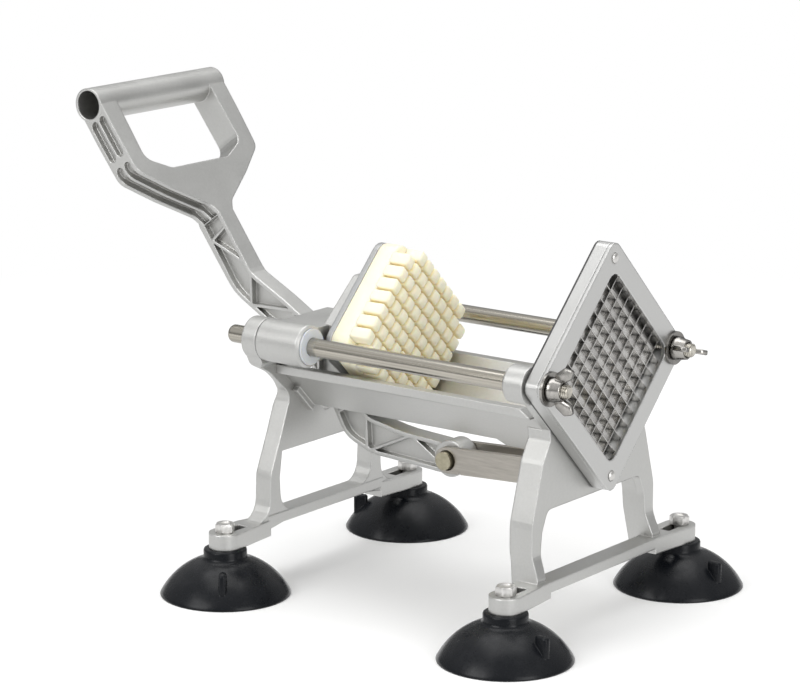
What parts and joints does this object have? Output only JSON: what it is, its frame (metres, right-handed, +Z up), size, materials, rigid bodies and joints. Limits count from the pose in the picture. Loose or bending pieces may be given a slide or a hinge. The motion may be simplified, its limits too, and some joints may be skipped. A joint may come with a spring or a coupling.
{
  "type": "french fry cutter",
  "caption": "Hand-lever french fry cutter: an ivory pusher block slides on rods through a corner-up blade grid, on a cast frame with suction feet.",
  "frame": {"origin": "on the table, in the plane of symmetry, midway between the handle's rear end and the front cups' front edge", "axes": "+X along the guide rods toward the blades, +Y away from the near side, +Z up"},
  "size_m": [0.3704, 0.2462, 0.2754],
  "materials": {
    "casting": "satin cast, tumbled",
    "cartridge": "satin machined",
    "backing": "matte",
    "rod_steel": "polished along its length",
    "link_steel": "brushed",
    "pin_steel": "yellow-plated",
    "blade_steel": "bright",
    "fastener": "bright nickel",
    "pusher": "satin ivory",
    "bush": "satin off-white",
    "rubber": "smooth, half gloss"
  },
  "bodies": {
    "base": {"front_frame": "casting", "trough": "casting", "rear_frame": "casting", "guide_rod_near": "rod_steel", "guide_rod_far": "rod_steel", "cartridge_body": "cartridge", "cartridge_cover": "cartridge", "cartridge_screws": "fastener", "blades_rising": "blade_steel", "blades_falling": "blade_steel", "stud_washers": "fastener", "suction_cup_front_near": "rubber", "suction_cup_front_far": "rubber", "suction_cup_rear_near": "rubber", "suction_cup_rear_far": "rubber", "foot_bolts": "fastener"},
    "carriage": {"carriage": "casting", "sleeve_bushes": "bush", "pivot_pin": "pin_steel", "pusher_plate": "backing", "pusher_block": "pusher", "pusher_screws": "fastener"},
    "lever": {"lever": "casting", "link_pin_lever": "pin_steel"},
    "links": {"link_near": "link_steel", "link_far": "link_steel", "link_pin_frame": "pin_steel"},
    "wing_nut_near": {"wing_nut_near": "fastener"},
    "wing_nut_far": {"wing_nut_far": "fastener"}
  },
  "joints": [
    {"name": "carriage_slide", "type": "slide", "parent": "base", "child": "carriage", "axis": [1, 0, 0], "range_m": [0, 0.124]},
    {"name": "lever_swing", "type": "hinge", "parent": "carriage", "child": "lever", "pos_m": [-0.02962, 0, 0.144], "axis": [0, 1, 0], "range_deg": [0, 69]},
    {"name": "link_swing", "type": "hinge", "parent": "lever", "child": "links", "pos_m": [0.05188, 0, 0.0787], "axis": [0, 1, 0], "range_deg": [-97.84, 0]},
    {"name": "wing_nut_near_turn", "type": "hinge", "parent": "base", "child": "wing_nut_near", "pos_m": [0.16038, -0.06103, 0.146], "axis": [1, 0, 0], "continuous": true},
    {"name": "wing_nut_far_turn", "type": "hinge", "parent": "base", "child": "wing_nut_far", "pos_m": [0.16038, 0.06103, 0.146], "axis": [1, 0, 0], "continuous": true}
  ],
  "couplings": [
    {"joint": "lever_swing", "follows": "carriage_slide", "rad_per_m": 9.707},
    {"joint": "link_swing", "follows": "carriage_slide", "rad_per_m": -13.768}
  ]
}
